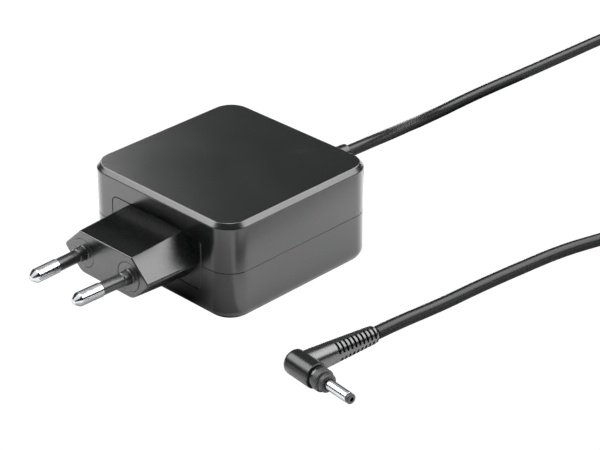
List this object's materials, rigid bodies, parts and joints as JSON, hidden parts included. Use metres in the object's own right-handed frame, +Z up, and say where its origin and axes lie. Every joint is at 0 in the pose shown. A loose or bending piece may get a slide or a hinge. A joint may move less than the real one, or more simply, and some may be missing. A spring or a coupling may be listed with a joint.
{
  "type": "laptop power adapter",
  "caption": "Square wall-plug laptop power adapter with a pull-off round-pin mains plug head and a fixed output cord that ends in a right-angled barrel plug.",
  "frame": {"origin": "centre of the housing's flat underside", "axes": "+Z up out of the housing's top face, -Y the way the mains pins point, +Y the way the output cord leaves"},
  "size_m": [0.1171, 0.2963, 0.0302],
  "materials": {
    "housing_plastic": "satin",
    "plug_plastic": "satin",
    "soft_plastic": "matt",
    "cord_sheath": "satin",
    "hook_and_loop": "woven",
    "plated_metal": "polished",
    "copper": "satin",
    "inner_plastic": "matt",
    "board": "satin",
    "insulation_film": "matt",
    "aluminium": "satin",
    "ferrite": "matt",
    "capacitor_sleeve": "gloss",
    "fuse_ceramic": "matt",
    "thermistor_coat": "gloss",
    "yellow_case": "matt",
    "blue_coat": "gloss",
    "pale_case": "matt",
    "component_case": "matt",
    "red_insulation": "satin",
    "black_insulation": "satin"
  },
  "bodies": {
    "adapter": {"top_housing": "housing_plastic", "bottom_housing": "housing_plastic", "socket_well": "inner_plastic", "strain_relief": "soft_plastic", "socket_spring_left": "copper", "socket_spring_right": "copper", "insulation_sheet": "insulation_film", "circuit_board": "board", "fuse": "fuse_ceramic", "inrush_thermistor": "thermistor_coat", "suppression_capacitor": "yellow_case", "line_choke_core": "ferrite", "line_choke_winding": "copper", "bridge_rectifier": "component_case", "bulk_capacitor": "capacitor_sleeve", "switching_transistor": "component_case", "primary_heat_sink": "aluminium", "output_rectifier": "component_case", "secondary_heat_sink": "aluminium", "transformer_core": "ferrite", "transformer_bobbin": "inner_plastic", "transformer_winding": "copper", "safety_capacitor": "blue_coat", "output_capacitor_1": "capacitor_sleeve", "output_capacitor_2": "capacitor_sleeve", "optocoupler": "pale_case", "controller_ic": "component_case", "heat_spreader": "aluminium", "output_lead_positive": "red_insulation", "output_lead_negative": "black_insulation", "cord_from_housing": "cord_sheath", "cord_coil": "cord_sheath", "cord_tie": "hook_and_loop", "cord_to_plug": "cord_sheath", "output_plug_elbow": "plug_plastic", "output_plug_boot": "soft_plastic", "output_plug_ring": "plug_plastic", "output_plug_nose": "soft_plastic", "output_plug_barrel": "plated_metal", "output_plug_tip_insulator": "soft_plastic", "output_plug_centre_contact": "copper"},
    "plug_head": {"plug_head_body": "plug_plastic", "plug_head_back_cover": "plug_plastic", "mains_pin_left": "plated_metal", "mains_pin_right": "plated_metal", "pin_sleeve_left": "soft_plastic", "pin_sleeve_right": "soft_plastic", "contact_blade_left": "copper", "contact_blade_right": "copper"}
  },
  "joints": [
    {"name": "plug_head_release", "type": "slide", "parent": "adapter", "child": "plug_head", "axis": [0, -1, 0], "range_m": [0, 0.016]}
  ]
}
